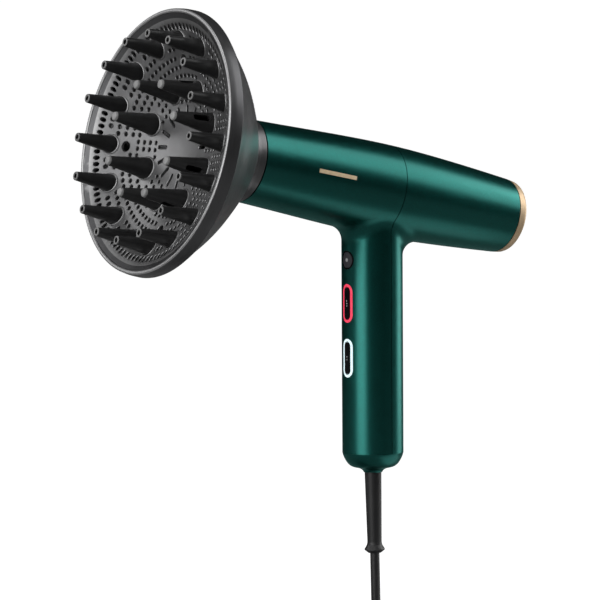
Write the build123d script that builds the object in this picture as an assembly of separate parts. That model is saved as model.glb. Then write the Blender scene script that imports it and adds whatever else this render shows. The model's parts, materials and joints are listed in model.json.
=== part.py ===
from build123d import *
import math
import os

# Hair dryer with a finger diffuser. Millimetres.
# Row frame: the origin is on the handle's axis where the hand closes round it,
# +Z runs up the handle to the barrel, +X points to the air inlet at the rear,
# -X to the diffuser, and the barrel's nose is raised by NOSE_UP.

# ---------------------------------------------------------------- dimensions
NOSE_UP = 10.92          # barrel axis from square to the handle, degrees
AXIS_Z = 100.0           # height where the barrel's axis crosses the handle's

R_NOSE = 25.0            # barrel outer radius at the front mouth
R_SEAM = 28.0            # at the seam between the two shells
R_TAIL = 23.2            # at the rear, where the gold ring begins
T_NOSE, T_SEAM, T_TAIL, T_END = -94.6, 6.1, 97.2, 103.6   # along the barrel's axis

R_HANDLE = 18.7          # handle outer radius
R_HANDLE_IN = 16.5
Z_CAP = -61.3            # seam of the handle's end cap
BLEND = 12.0             # fillet where the handle meets the barrel
SEAM_X = 1.1             # plane of the shells' seam along the handle
SEAM_W, SEAM_D = 0.5, 0.7

Z_COOL, Z_HEAT, Z_SPEED = 56.6, 30.2, -3.1     # controls on the handle's front
PILL_L, PILL_W = 23.6, 9.8                     # light ring, outside
KEY_L, KEY_W = 19.4, 5.0                       # pill button
GAP = 0.25                                     # round a moving button

RIM_T = -159.6           # front plane of the diffuser's rim, along the barrel
R_RIM = 80.2             # diffuser outer radius
DISH_R, DISH_Q = 150.0, 21.8                   # dish: spherical radius, depth
DISH_WALL, R_DISH = 1.8, 73.9
N_OUT, R_OUT, Q_OUT, A_OUT = 16, 61.5, -15.4, 0.6    # outer fingers: count, circle, tip, first angle
N_IN, R_IN, Q_IN, A_IN = 8, 34.8, -10.1, 22.8        # inner fingers
R_POST, A_POST = 51.0, 1.4                           # the four screws

CORD_D = 5.8             # mains cord
CORD_R = CORD_D / 2
Z_BEND, LEAN = -73.2, 1.2  # below this height the relief leans back, degrees
Z_EXIT = -123.1          # where the cord leaves its strain relief
Z_LIE = -210.8           # height of a cord's centre where it lies
COIL_X, COIL_Y = -76.2, 35.9
COIL_OUT, COIL_IN = 43.9, 23.1   # radii of the outermost and innermost turns
PIN_R, PIN_L, PIN_GAP = 2.4, 19.0, 19.0        # mains plug pins
ROOT_R = 1.9                                   # the pins' roots in the plug

BARREL = Pos(0, 0, AXIS_Z) * Rot(0, NOSE_UP, 0)


# ------------------------------------------------------------------- helpers
def lathe(points, place=BARREL):
    """A turned piece round the local X axis, from (along, radius) points."""
    return place * revolve(make_face(Polyline(*points, close=True)), Axis.X)


def ring(t0, t1, r0, r1, place=BARREL):
    return lathe([(t0, r0), (t0, r1), (t1, r1), (t1, r0)], place)


def lathe_z(points):
    """A turned piece round Z, from (radius, height) points."""
    return revolve(Plane.XZ * make_face(Polyline(*points, close=True)), Axis.Z)


def plate_x(sketch, t0, t1):
    """A flat sketch (y, z) made into a plate square to the local X axis."""
    return extrude(Pos(t0, 0, 0) * (Plane.YZ * sketch), t1 - t0, dir=(1, 0, 0))


def cyl_x(x0, x1, r, y=0.0, z=0.0):
    return Pos((x0 + x1) / 2, y, z) * Rot(0, 90, 0) * Cylinder(r, x1 - x0)


def cyl_z(z0, z1, r, x=0.0, y=0.0):
    return Pos(x, y, (z0 + z1) / 2) * Cylinder(r, z1 - z0)


def block(x0, x1, y0, y1, z0, z1):
    return Pos((x0 + x1) / 2, (y0 + y1) / 2, (z0 + z1) / 2) * Box(
        x1 - x0, y1 - y0, z1 - z0
    )


def pill(x0, x1, width, length, z):
    """A rod of pill-shaped section along X, upright, centred at height z."""
    sketch = SlotOverall(length, width, rotation=90)
    return extrude(Pos(x0, 0, z) * (Plane.YZ * sketch), x1 - x0, dir=(1, 0, 0))


def round_pt(radius, angle):
    """(y, z) on a circle about the barrel axis; 0 degrees is the top."""
    a = math.radians(angle)
    return radius * math.sin(a), radius * math.cos(a)


def dish(radius):
    """How far behind the rim's plane the dish lies at that radius."""
    return DISH_Q - (DISH_R - math.sqrt(DISH_R**2 - radius**2))


def bore(t):
    """Inner radius of the barrel shells at t."""
    if t < T_SEAM:
        return 23.0 + (t + 84.0) / (T_SEAM + 84.0) * 2.7
    return 25.7 + (t - T_SEAM) / (86.0 - T_SEAM) * (22.0 - 25.7)


def group(*solids):
    return Compound(children=[s for part in solids for s in part.solids()])


nodes = {}

# -------------------------------------------------------------------- shells
skin = Spline(
    (T_NOSE, R_NOSE), (-44.65, 26.9), (T_SEAM, R_SEAM), (51.65, 26.35), (T_TAIL, R_TAIL)
)
barrel = BARREL * revolve(
    make_face(
        [
            skin,
            Line((T_TAIL, R_TAIL), (T_TAIL, 0)),
            Line((T_TAIL, 0), (T_NOSE, 0)),
            Line((T_NOSE, 0), (T_NOSE, R_NOSE)),
        ]
    ),
    Axis.X,
)
stem = Rot(0, 0, 35) * cyl_z(Z_CAP, AXIS_Z, R_HANDLE)
outer = barrel + stem
crossing = [
    e
    for e in outer.edges()
    if e.geom_type not in (GeomType.CIRCLE, GeomType.LINE)
    and 50 < e.center().Z < 95
    and abs(e.center().X) < 30
    and e.bounding_box().size.Y > 5
]
outer = fillet(crossing, BLEND)

hollow = lathe(
    [
        (T_NOSE - 1, 0),
        (T_NOSE - 1, 22.1),
        (-93.0, 22.1),
        (-93.0, 22.8),
        (-84.0, 22.8),
        (-84.0, bore(-84.0)),
        (T_SEAM, bore(T_SEAM)),
        (86.0, bore(86.0)),
        (86.0, 20.4),
        (88.0, 20.4),
        (88.0, 21.5),
        (T_TAIL + 1, 21.5),
        (T_TAIL + 1, 0),
    ]
)
shell = outer - hollow - cyl_z(Z_CAP - 1, AXIS_Z, R_HANDLE_IN)

# the seam: up the handle's side, then square to the barrel's axis
lean = math.tan(math.radians(NOSE_UP))
kink_z = AXIS_Z - T_SEAM * math.sin(math.radians(NOSE_UP)) - (
    T_SEAM * math.cos(math.radians(NOSE_UP)) - SEAM_X
) / lean
top_x = SEAM_X + (220.0 - kink_z) * lean


def seam_side(shift, far):
    """A slab of the XZ plane from the seam, moved by shift, out to x = far."""
    flat = make_face(
        Polyline(
            (far, -90),
            (SEAM_X + shift, -90),
            (SEAM_X + shift, kink_z - shift * 0.1),
            (top_x + shift, 220),
            (far, 220),
            close=True,
        )
    )
    return extrude(Plane.XZ * flat, 70, both=True)


core = lathe(
    [(T_NOSE - 2, 0), (T_NOSE - 2, R_NOSE - SEAM_D)]
    + [(t, r - SEAM_D) for t, r in ((-44.65, 26.9), (T_SEAM, R_SEAM), (51.65, 26.35))]
    + [(T_TAIL + 2, R_TAIL - SEAM_D), (T_TAIL + 2, 0)]
) + cyl_z(Z_CAP - 2, AXIS_Z, R_HANDLE - SEAM_D)
groove = (seam_side(-SEAM_W / 2, 120) & seam_side(SEAM_W / 2, -200)) - core

front = (shell & seam_side(0, -260)) - groove
rear = (shell & seam_side(0, 160)) - groove

# windows for the controls, and posts that carry the two circuit boards
front -= cyl_x(-22, -12, 5.8, z=Z_COOL)
for z in (Z_HEAT, Z_SPEED):
    front -= pill(-22, -12, PILL_W, PILL_L, z)
for z in (45.5, 13.6):
    front += cyl_x(-17.2, -11.0, 2.2, z=z) - cyl_x(-16.0, -10.0, 0.8, z=z)
for z in (-40.0, 54.0):
    rear += cyl_x(3.6, 17.2, 2.4, z=z) - cyl_x(3.0, 12.0, 0.8, z=z)
nodes["front_shell"] = front
nodes["rear_shell"] = rear

# -------------------------------------------------------------- handle's end
cap = revolve(
    Plane.XZ
    * make_face(
        [
            Spline(
                (18.6, Z_CAP - 0.3),
                (18.25, Z_CAP - 1.6),
                (17.6, Z_CAP - 3.2),
                (16.6, Z_CAP - 5.1),
                (15.2, Z_CAP - 7.0),
                (13.5, Z_CAP - 8.4),
                (11.2, Z_CAP - 9.2),
                (8.6, Z_CAP - 9.8),
                (6.7, Z_CAP - 10.8),
                (5.7, Z_CAP - 12.2),
            ),
            Polyline(
                (5.7, Z_CAP - 12.2),
                (5.4, Z_CAP - 12.2),
                (5.4, -67.5),
                (13.0, -67.0),
                (14.6, -64.8),
                (15.0, -63.0),
                (15.0, -55.3),
                (16.4, -55.3),
                (16.4, Z_CAP),
                (18.1, Z_CAP),
                (18.1, Z_CAP - 0.3),
                (18.6, Z_CAP - 0.3),
            ),
        ]
    ),
    Axis.Z,
)
for y in (-9.5, 9.5):
    cap += cyl_z(-68.5, -62.0, 2.6, y=y) - cyl_z(-66.5, -61.0, 0.8, y=y)
nodes["handle_end_cap"] = cap

leaning = Pos(0, 0, Z_BEND) * Rot(0, -LEAN, 0)
upper = lathe_z([(0, -63.4), (6.7, -63.4), (6.7, -66.9), (5.36, -66.9), (5.3, Z_BEND), (0, Z_BEND)])
lower = leaning * lathe_z(
    [
        (0, 3.0),
        (4.8, 3.0),
        (5.15, -0.6),
        (4.4, -43.3),
        (4.75, -45.0),
        (6.2, -47.5),
        (6.2, -48.1),
        (4.0, Z_EXIT - Z_BEND),
        (0, Z_EXIT - Z_BEND),
    ]
)
nodes["strain_relief"] = upper + lower - leaning * cyl_z(-55, 15, CORD_R + 0.02)
EXIT = (leaning * Pos(0, 0, Z_EXIT - Z_BEND)).position
print("cord exit", EXIT)
nodes["cord_inner"] = leaning * cyl_z(Z_EXIT - Z_BEND, 23.0, CORD_R)
clamp = block(-4.5, 4.5, -13.0, 13.0, -62.0, -54.0) - leaning * cyl_z(5, 25, CORD_R + 0.02)
for y in (-9.5, 9.5):
    clamp -= cyl_z(-63, -53, 1.1, y=y)
nodes["cord_clamp"] = clamp
nodes["clamp_screws"] = group(
    *[
        cyl_z(-66.0, -54.0, 0.8, y=y)
        + (cyl_z(-54.0, -52.2, 2.0, y=y) - block(-2, 2, y - 0.25, y + 0.25, -52.8, -52))
        for y in (-9.5, 9.5)
    ]
)

# ------------------------------------------------------------------ controls
surface = cyl_z(-80, AXIS_Z, R_HANDLE + 0.08)
proud = cyl_z(-80, AXIS_Z, R_HANDLE + 0.25)

nodes["cool_shot_bezel"] = (
    cyl_x(-20, -16.3, 5.75, z=Z_COOL) - cyl_x(-21, -16, 4.75 + GAP, z=Z_COOL)
) & proud
nodes["cool_shot_button"] = (cyl_x(-20, -15.9, 4.75, z=Z_COOL) & surface) + cyl_x(
    -16.0, -15.4, 5.45, z=Z_COOL
)
for name, z in (("heat", Z_HEAT), ("speed", Z_SPEED)):
    light = pill(-20, -16.3, PILL_W - 0.1, PILL_L - 0.1, z) - pill(
        -21, -16, KEY_W + 2 * GAP, KEY_L + 2 * GAP, z
    )
    nodes[name + "_light_ring"] = light & surface
    nodes[name + "_button"] = (
        pill(-20, -15.9, KEY_W, KEY_L, z) & proud
    ) + pill(-16.0, -15.4, KEY_W + 1.5, KEY_L + 1.5, z)

board = block(-11.0, -9.4, -10.0, 10.0, -20.0, 66.0)
for z in (45.5, 13.6):
    board -= cyl_x(-12, -9, 0.9, z=z)
nodes["control_board"] = board
nodes["tact_switches"] = group(
    *[
        block(-13.4, -11.0, -3.0, 3.0, z - 3, z + 3) + cyl_x(-14.3, -13.4, 1.6, z=z)
        for z in (Z_COOL, Z_HEAT, Z_SPEED)
    ]
)
nodes["indicator_leds"] = group(
    *[
        block(-12.2, -11.0, y - 1.4, y + 1.4, z + dz - 1.4, z + dz + 1.4)
        for z in (Z_HEAT, Z_SPEED)
        for y in (-6.0, 6.0)
        for dz in (-6.0, 6.0)
    ]
)
power = block(2.0, 3.6, -13.0, 13.0, -48.0, 62.0)
for z in (-40.0, 54.0):
    power -= cyl_x(1, 5, 0.9, z=z)
nodes["power_board"] = power
nodes["power_capacitor"] = cyl_z(-22.0, -2.0, 5.0, x=-3.1)
sink = block(3.6, 5.4, -9.0, 9.0, 6.0, 34.0)
for y in (-9.0, -5.4, -1.8, 1.8, 5.4):
    sink += block(5.0, 11.0, y, y + 1.4, 6.0, 34.0)
nodes["heat_sink"] = sink
nodes["board_screws"] = group(
    *[
        cyl_x(-15.0, -9.4, 0.8, z=z) + cyl_x(-9.4, -8.0, 1.8, z=z)
        for z in (45.5, 13.6)
    ],
    *[cyl_x(2.0, 10.0, 0.8, z=z) + cyl_x(0.6, 2.0, 1.8, z=z) for z in (-40.0, 54.0)],
)

# -------------------------------------------------------------- the air path
nodes["outlet_spigot"] = lathe(
    [
        (-108.0, 20.6),
        (-108.0, 21.5),
        (-107.4, 22.0),
        (-93.0, 22.0),
        (-93.0, 22.75),
        (-86.0, 22.75),
        (-86.0, 21.65),
        (-90.0, 21.65),
        (-90.0, 20.2),
        (-107.6, 20.2),
    ]
)
grate = Circle(20.15) - Circle(18.6)
for r in (4.0, 9.0, 14.0):
    grate += Circle(r + 0.5) - Circle(r - 0.5)
for a in range(0, 180, 45):
    grate += Rot(0, 0, a) * Rectangle(38.0, 1.0)
nodes["outlet_grille"] = BARREL * plate_x(grate, -98.0, -95.0)

nodes["heater_sleeve"] = ring(-88.0, -28.0, 21.0, 21.6)
mica = block(-84.0, -36.0, -0.4, 0.4, -16.8, 16.8) + block(
    -84.0, -36.0, -16.8, 16.8, -0.4, 0.4
)
for x0, x1 in ((-84.0, -78.0), (-42.0, -36.0)):
    mica += block(x0, x1, -0.4, 0.4, -20.98, 20.98) + block(
        x0, x1, -20.98, 20.98, -0.4, 0.4
    )
nodes["heater_cross"] = BARREL * mica
nodes["heater_coil"] = group(
    *[
        BARREL * Pos(-74.5 + 3.6 * k, 0, 0) * Rot(0, 90, 0) * Torus(17.55, 0.6)
        for k in range(9)
    ]
)
nodes["thermal_cutout"] = BARREL * block(-66.0, -54.0, 0.4, 4.4, -12.0, -5.0)

nodes["motor_housing"] = (
    lathe(
        [
            (-34.0, 19.6),
            (-34.0, 20.95),
            (-27.0, 20.95),
            (-27.0, 18.6),
            (34.0, 18.6),
            (34.0, 17.6),
            (32.0, 17.0),
            (-26.0, 17.0),
        ]
    )
    + lathe(
        [
            (-20.5, 2.6),
            (-20.5, 9.5),
            (-18.5, 11.5),
            (8.5, 11.5),
            (8.5, 10.2),
            (-16.0, 10.2),
            (-16.0, 4.02),
            (-20.0, 4.02),
            (-20.0, 2.6),
        ]
    )
    + [
        BARREL * Rot(k * 360 / 7, 0, 0) * Pos(-6.0, 0, 14.25) * Rot(0, 0, 14)
        * Box(22.0, 1.1, 6.2)
        for k in range(7)
    ]
)
nodes["motor_end_plate"] = lathe(
    [
        (8.5, 4.02),
        (8.5, 11.5),
        (9.6, 11.5),
        (9.6, 6.0),
        (13.4, 6.0),
        (13.4, 4.02),
    ]
)
for name, t0, t1 in (("motor_mount_front", -26.0, -20.0), ("motor_mount_rear", 26.0, 32.0)):
    nodes[name] = lathe(
        [(t0, 18.6), (t0, bore(t0)), (t1, bore(t1)), (t1, 18.6)]
    )
stator = ring(-12.0, 6.0, 5.6, 10.2)
for k in range(6):
    y, z = round_pt(7.6, k * 60)
    stator -= BARREL * cyl_x(-13, 7, 1.3, y, z)
nodes["motor_stator"] = stator
nodes["motor_windings"] = group(
    *[
        BARREL * cyl_x(-15.4, 8.3, 1.28, *round_pt(7.6, k * 60))
        for k in range(6)
    ]
)
nodes["motor_bearings"] = group(
    ring(-20.0, -17.0, 1.53, 4.0), ring(10.0, 13.0, 1.53, 4.0)
)
nodes["motor_shaft"] = ring(-22.0, 28.0, 0.0, 1.5)
nodes["rotor_magnet"] = ring(-11.0, 5.0, 1.5, 5.0)
vanes = [
    Rot(k * 40, 0, 0) * Pos(20.8, 0, 10.6) * Rot(0, 0, 38) * Box(16.0, 0.9, 13.6)
    for k in range(9)
]
envelope = lathe([(15.2, 3.0), (15.2, 16.6), (26.4, 16.6), (26.4, 3.0)], Pos(0, 0, 0))
hub = lathe(
    [(14.4, 1.5), (14.4, 9.5), (17.0, 9.5), (24.0, 7.0), (27.0, 3.4), (27.0, 1.5)],
    Pos(0, 0, 0),
)
wheel = hub
for v in vanes:
    wheel += v & envelope
nodes["impeller"] = BARREL * wheel

# a bundle of three leads from the power board up to the motor
leads = []
for y in (4.2, 6.2, 8.2):
    route = FilletPolyline((4.8, y, 40.0), (9.0, y, 56.0), (7.0, y, 79.0), radius=12)
    leads.append(sweep(Plane(route @ 0, z_dir=route % 0) * Circle(0.9), path=route))
nodes["wiring_loom"] = group(*leads)

# --------------------------------------------------------------- the inlet
frame_sk = Circle(21.45) - Circle(15.0)
for a in (0, 60, 120):
    frame_sk += Rot(0, 0, a) * Rectangle(31.0, 1.4)
frame_sk += Circle(3.0)
for k in range(3):
    y, z = round_pt(18.2, 60 + k * 120)
    frame_sk -= Pos(y, z) * Circle(1.0)
nodes["inlet_frame"] = BARREL * plate_x(frame_sk, 88.0, 90.6)
nodes["inlet_screws"] = group(
    *[
        BARREL
        * (
            cyl_x(88.2, 90.6, 0.95, *round_pt(18.2, 60 + k * 120))
            + cyl_x(90.6, 92.0, 1.8, *round_pt(18.2, 60 + k * 120))
        )
        for k in range(3)
    ]
)
nodes["filter_magnets"] = group(
    *[BARREL * cyl_x(90.6, 92.1, 1.9, *round_pt(18.9, k * 120)) for k in range(3)]
)
nodes["inlet_ring"] = lathe(
    [
        (92.5, 19.6),
        (92.5, 20.9),
        (97.9, 20.9),
        (97.9, 23.1),
        (102.0, 22.55),
        (103.0, 22.1),
        (T_END, 21.4),
        (T_END, 20.9),
        (102.6, 20.6),
        (98.0, 20.6),
        (98.0, 19.6),
    ]
)
mesh_sk = Circle(20.5)
nodes["filter_mesh"] = BARREL * plate_x(mesh_sk, 98.0, 98.35)
grille_sk = Circle(20.55)
pitch = 4.4
for i in range(-5, 6):
    for j in range(-5, 6):
        y = pitch * (i + j / 2)
        z = pitch * j * math.sqrt(3) / 2
        if math.hypot(y, z) < 18.6:
            grille_sk -= Pos(y, z) * Rot(0, 0, 30) * RegularPolygon(1.85, 6, major_radius=False)
nodes["inlet_grille"] = BARREL * plate_x(grille_sk, 98.4, 99.8)

# ---------------------------------------------------------------- the badge
badge = BARREL * Rot(-1.9, 0, 0) * block(-57.7, -31.0, -31.0, -20.0, -1.2, 1.2)
shape = BARREL * revolve(
    make_face(
        [
            skin,
            Line((T_TAIL, R_TAIL), (T_TAIL, R_TAIL + 0.25)),
            Spline(
                (T_TAIL, R_TAIL + 0.25),
                (51.65, 26.6),
                (T_SEAM, R_SEAM + 0.25),
                (-44.65, 27.15),
                (T_NOSE, R_NOSE + 0.25),
            ),
            Line((T_NOSE, R_NOSE + 0.25), (T_NOSE, R_NOSE)),
        ]
    ),
    Axis.X,
)
nodes["side_badge"] = badge & shape

# -------------------------------------------------------------- the diffuser


def at_rim(points):
    return [(RIM_T + q, r) for q, r in points]


nodes["diffuser_collar"] = lathe(
    at_rim(
        [
            (46.6, 22.3),
            (46.6, 23.4),
            (47.0, 23.6),
            (57.3, 23.6),
            (57.3, 25.2),
            (57.6, 25.5),
            (60.0, 25.3),
            (63.75, 25.4),
            (64.05, 25.1),
            (64.05, 22.7),
            (63.2, 22.3),
        ]
    )
)
nodes["collar_retainer"] = lathe(
    at_rim([(46.9, 23.6), (46.9, 25.2), (47.3, 25.6), (49.2, 25.6), (49.2, 23.6)])
)
BOWL = [
    (8.9, 79.7),
    (11.0, 77.9),
    (15.9, 73.2),
    (22.0, 67.9),
    (30.5, 59.7),
    (40.3, 48.5),
    (51.2, 34.7),
    (55.5, 28.6),
    (57.0, 26.5),
]
BOWL_IN = [
    (53.9, 27.4),
    (49.6, 33.5),
    (38.75, 47.2),
    (29.0, 58.35),
    (20.6, 66.45),
    (14.4, 71.9),
    (10.6, 75.5),
]
wall = make_face(
    [
        Spline(*at_rim(BOWL)),
        Polyline(*at_rim([BOWL[-1], (57.0, 23.9), (49.5, 23.9), (49.5, 25.9), (53.9, 25.9), BOWL_IN[0]])),
        Spline(*at_rim(BOWL_IN)),
        Polyline(*at_rim([BOWL_IN[-1], (5.2, 75.5), (5.2, 77.6), (8.9, 77.6), BOWL[0]])),
    ]
)
bowl = revolve(wall, Axis.X)
for k in range(4):
    y, z = round_pt(R_POST, A_POST + k * 90)
    bowl += cyl_x(RIM_T + 22.5, RIM_T + 34.3, 3.6, y, z) - cyl_x(
        RIM_T + 22.0, RIM_T + 32.0, 1.45, y, z
    )
nodes["diffuser_bowl"] = BARREL * bowl

nodes["diffuser_rim"] = lathe(
    at_rim(
        [
            (0.0, 77.8),
            (0.0, 78.8),
            (0.5, 79.4),
            (4.0, 80.05),
            (8.4, 80.2),
            (8.6, 80.0),
            (8.6, 77.6),
            (5.2, 77.6),
            (5.2, R_DISH),
            (2.45, R_DISH),
            (1.0, 76.9),
            (0.35, 77.2),
        ]
    )
)

centre_x = RIM_T + DISH_Q - DISH_R
disc = (Pos(centre_x, 0, 0) * Sphere(DISH_R + DISH_WALL)) - (
    Pos(centre_x, 0, 0) * Sphere(DISH_R)
)
disc = disc & cyl_x(RIM_T - 5, RIM_T + 30, R_DISH)
for k in range(4):
    y, z = round_pt(R_POST, A_POST + k * 90)
    disc += cyl_x(RIM_T + 13.4, RIM_T + 22.5, 4.4, y, z)
holes = Sketch()
for k in range(N_OUT):
    holes += Pos(*round_pt(R_OUT, A_OUT + k * 22.5)) * Circle(5.25)
    holes += Rot(0, 0, 90 - A_OUT - k * 22.5) * Pos(21.4, 0) * SlotOverall(8.4, 2.4)
for k in range(N_IN):
    holes += Pos(*round_pt(R_IN, A_IN + k * 45)) * Circle(6.45)
for k in range(32):
    holes += Pos(*round_pt(42.2, (k + 0.5) * 11.25)) * Circle(1.5)
    holes += Pos(*round_pt(69.8, (k + 0.5) * 11.25)) * Circle(1.5)
disc -= plate_x(holes, RIM_T - 2, RIM_T + 30)
for k in range(4):
    y, z = round_pt(R_POST, A_POST + k * 90)
    disc -= cyl_x(RIM_T + 8, RIM_T + 21.0, 3.1, y, z)
    disc -= cyl_x(RIM_T + 8, RIM_T + 24.0, 1.6, y, z)
nodes["diffuser_plate"] = BARREL * disc

nodes["diffuser_screws"] = group(
    *[
        BARREL
        * (
            cyl_x(RIM_T + 18.8, RIM_T + 21.0, 2.9, y, z)
            - block(RIM_T + 18, RIM_T + 19.6, y - 2, y + 2, z - 0.35, z + 0.35)
            - block(RIM_T + 18, RIM_T + 19.6, y - 0.35, y + 0.35, z - 2, z + 2)
            + cyl_x(RIM_T + 21.0, RIM_T + 31.0, 1.4, y, z)
        )
        for y, z in (round_pt(R_POST, A_POST + k * 90) for k in range(4))
    ]
)

tall = revolve(
    make_face(
        Polyline(
            (Q_OUT + 6.0, 0),
            (Q_OUT + 6.0, 1.4),
            (Q_OUT + 0.2, 1.5),
            (Q_OUT, 1.7),
            (Q_OUT, 2.15),
            (Q_OUT + 0.5, 2.6),
            (4.5, 4.8),
            (6.2, 5.25),
            (13.4, 5.25),
            (13.4, 0),
            close=True,
        )
    ),
    Axis.X,
)
nodes["outer_fingers"] = group(
    *[
        BARREL * Pos(RIM_T, *round_pt(R_OUT, A_OUT + k * 22.5)) * tall
        for k in range(N_OUT)
    ]
)
short = revolve(
    make_face(
        Polyline(
            (Q_IN + 1.8, 0),
            (Q_IN + 1.8, 2.85),
            (13.6, 5.95),
            (15.4, 6.45),
            (21.6, 6.45),
            (21.6, 4.4),
            (2.0, 2.4),
            (2.0, 0),
            close=True,
        )
    ),
    Axis.X,
)
short -= block(3.95, 11.45, -1.75, 1.75, 1, 9)
short -= cyl_z(1, 9, 1.75, x=3.95) + cyl_z(1, 9, 1.75, x=11.45)
nodes["inner_fingers"] = group(
    *[
        BARREL
        * Pos(RIM_T, *round_pt(R_IN, A_IN + k * 45))
        * Rot(-A_IN - k * 45, 0, 0)
        * short
        for k in range(N_IN)
    ]
)
tip = revolve(
    make_face(
        Polyline(
            (Q_IN, 0),
            (Q_IN, 2.0),
            (Q_IN + 0.7, 2.7),
            (Q_IN + 1.8, 2.8),
            (Q_IN + 1.8, 0),
            close=True,
        )
    ),
    Axis.X,
)
nodes["finger_tips"] = group(
    *[
        BARREL * Pos(RIM_T, *round_pt(R_IN, A_IN + k * 45)) * tip
        for k in range(N_IN)
    ]
)

# -------------------------------------------------------------- mains cord


def cord(name, points):
    """A round cord: straight runs joined by arcs as large as the runs allow."""
    v = [Vector(*p) for p in points]
    radii = []
    for a, b, c in zip(v, v[1:], v[2:]):
        turn = (b - a).get_angle(c - b)
        shorter = min((b - a).length, (c - b).length)
        radii.append(0.45 * shorter / math.tan(math.radians(turn / 2)))
    path = FilletPolyline(*points, radius=radii)
    tube = sweep(Plane(path @ 0, z_dir=path % 0) * Circle(CORD_R), path=path)
    exact = math.pi * CORD_R**2 * path.length
    print(
        name,
        "radii", [round(r, 1) for r in radii],
        "runs", [round((b - a).length, 1) for a, b in zip(v, v[1:])],
        "length", round(path.length, 1),
        "volume / section x length", round(tube.volume / exact, 4),
    )
    nodes[name] = tube
    return path.length


lead_len = cord(
    "cord_lead",
    [
        (EXIT.X, 0, EXIT.Z),
        (EXIT.X + 38 * math.sin(math.radians(LEAN)), 0, EXIT.Z - 38),
        (-19.0, -2.0, -192.8),
        (-50.2, -6.0, Z_LIE),
        (COIL_X, -8.0, Z_LIE),
    ],
)
top_z = Z_LIE + CORD_D
plug_x, plug_y, plug_z = 20.2, 45.2, Z_LIE - CORD_R + 13.0
tail_len = cord(
    "cord_tail",
    [
        (-47.4, 70.2, top_z),
        (-28.2, 54.1, top_z - 1.5),
        (-3.8, plug_y, top_z + 0.5),
        (plug_x, plug_y, plug_z),
    ],
)

# the coil: two layers, wound inwards below and outwards above
low = Z_LIE - CORD_R
high = low + 2 * CORD_D
r0, r1 = COIL_IN - CORD_R, COIL_OUT + CORD_R
nodes["cord_coil"] = Pos(COIL_X, COIL_Y, 0) * lathe_z(
    [(r0, low), (r1, low), (r1, high), (r0, high)]
)
turns = 3.6 * (COIL_OUT + COIL_IN) / 2 + 0.25 * COIL_IN + 3.76 * (COIL_OUT + COIL_IN + 0.9) / 2
print("cord length", round(lead_len + tail_len + 2 * math.pi * turns, 1))

inner = [
    (r0 - 0.05, low - 0.05),
    (r1 + 0.05, low - 0.05),
    (r1 + 0.05, high + 0.05),
    (r0 - 0.05, high + 0.05),
]
outside = [
    (r0 - 1.1, low - 0.4),
    (r0 - 0.4, low - 1.1),
    (r1 + 0.4, low - 1.1),
    (r1 + 1.1, low - 0.4),
    (r1 + 1.1, high + 0.4),
    (r1 + 0.4, high + 1.1),
    (r0 - 0.4, high + 1.1),
    (r0 - 1.1, high + 0.4),
]
band = make_face(Polyline(*outside, close=True)) - make_face(Polyline(*inner, close=True))
strap = revolve(Plane.XZ * band, Axis.Z, revolution_arc=16)
nodes["cord_tie"] = Pos(COIL_X, COIL_Y, 0) * Rot(0, 0, 172) * strap

# a two-pin contour plug, lying on its broad side
x0 = plug_x
boot = Pos(0, plug_y, plug_z) * revolve(
    make_face(
        Polyline((x0, 0), (x0, 4.4), (x0 + 28, 7.2), (x0 + 28, 0), close=True)
    ),
    Axis.X,
)
profile = RectangleRounded(36.0, 26.0, 12.0)
head = extrude(
    Pos(x0 + 28, plug_y, plug_z) * (Plane.YZ * profile), 34.0, dir=(1, 0, 0)
)
head = fillet(head.edges().group_by(Axis.X)[0], 6.0)
head = fillet(head.edges().group_by(Axis.X)[-1], 1.2)
body = boot + head
for y in (-PIN_GAP / 2, PIN_GAP / 2):
    body -= cyl_x(x0 + 50, x0 + 63, ROOT_R, plug_y + y, plug_z)
nodes["plug_body"] = body
pin = revolve(
    make_face(
        Polyline(
            (0, 0),
            (0, PIN_R),
            (PIN_L - 0.9, PIN_R),
            (PIN_L - 0.2, PIN_R - 0.6),
            (PIN_L, PIN_R - 1.2),
            (PIN_L, 0),
            close=True,
        )
    ),
    Axis.X,
)
stub = cyl_x(-12.0, 0.0, ROOT_R)
nodes["plug_pins"] = group(
    *[
        Pos(x0 + 62, plug_y + y, plug_z) * (pin + stub)
        for y in (-PIN_GAP / 2, PIN_GAP / 2)
    ]
)

# ------------------------------------------------------------------- export
for name, shape_of in nodes.items():
    export_step(shape_of, f"parts/{name}.step")
print(len(nodes), "nodes")
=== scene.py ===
import bpy, bmesh, json, math
from mathutils import Vector, Matrix
from mathutils.geometry import delaunay_2d_cdt


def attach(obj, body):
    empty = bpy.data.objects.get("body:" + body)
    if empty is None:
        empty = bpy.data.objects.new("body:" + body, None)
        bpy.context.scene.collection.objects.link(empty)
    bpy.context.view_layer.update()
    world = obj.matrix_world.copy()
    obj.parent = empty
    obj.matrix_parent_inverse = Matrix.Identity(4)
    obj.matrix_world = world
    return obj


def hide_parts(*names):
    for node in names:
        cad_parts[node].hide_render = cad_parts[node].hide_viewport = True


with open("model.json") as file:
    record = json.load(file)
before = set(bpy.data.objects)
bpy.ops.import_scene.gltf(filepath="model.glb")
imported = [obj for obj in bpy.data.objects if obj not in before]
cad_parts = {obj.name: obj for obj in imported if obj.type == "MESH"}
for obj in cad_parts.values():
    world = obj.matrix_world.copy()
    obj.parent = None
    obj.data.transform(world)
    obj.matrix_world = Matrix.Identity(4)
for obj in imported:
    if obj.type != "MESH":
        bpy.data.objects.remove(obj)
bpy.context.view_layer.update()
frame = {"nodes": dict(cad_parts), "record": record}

# ------------------------------------------------------------ the design's numbers
NOSE_UP = math.radians(10.92)
S, C = math.sin(NOSE_UP), math.cos(NOSE_UP)
RIM_T = -159.6
DISH_R, DISH_Q, DISH_WALL, R_DISH = 150.0, 21.8, 1.8, 73.9
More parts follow.
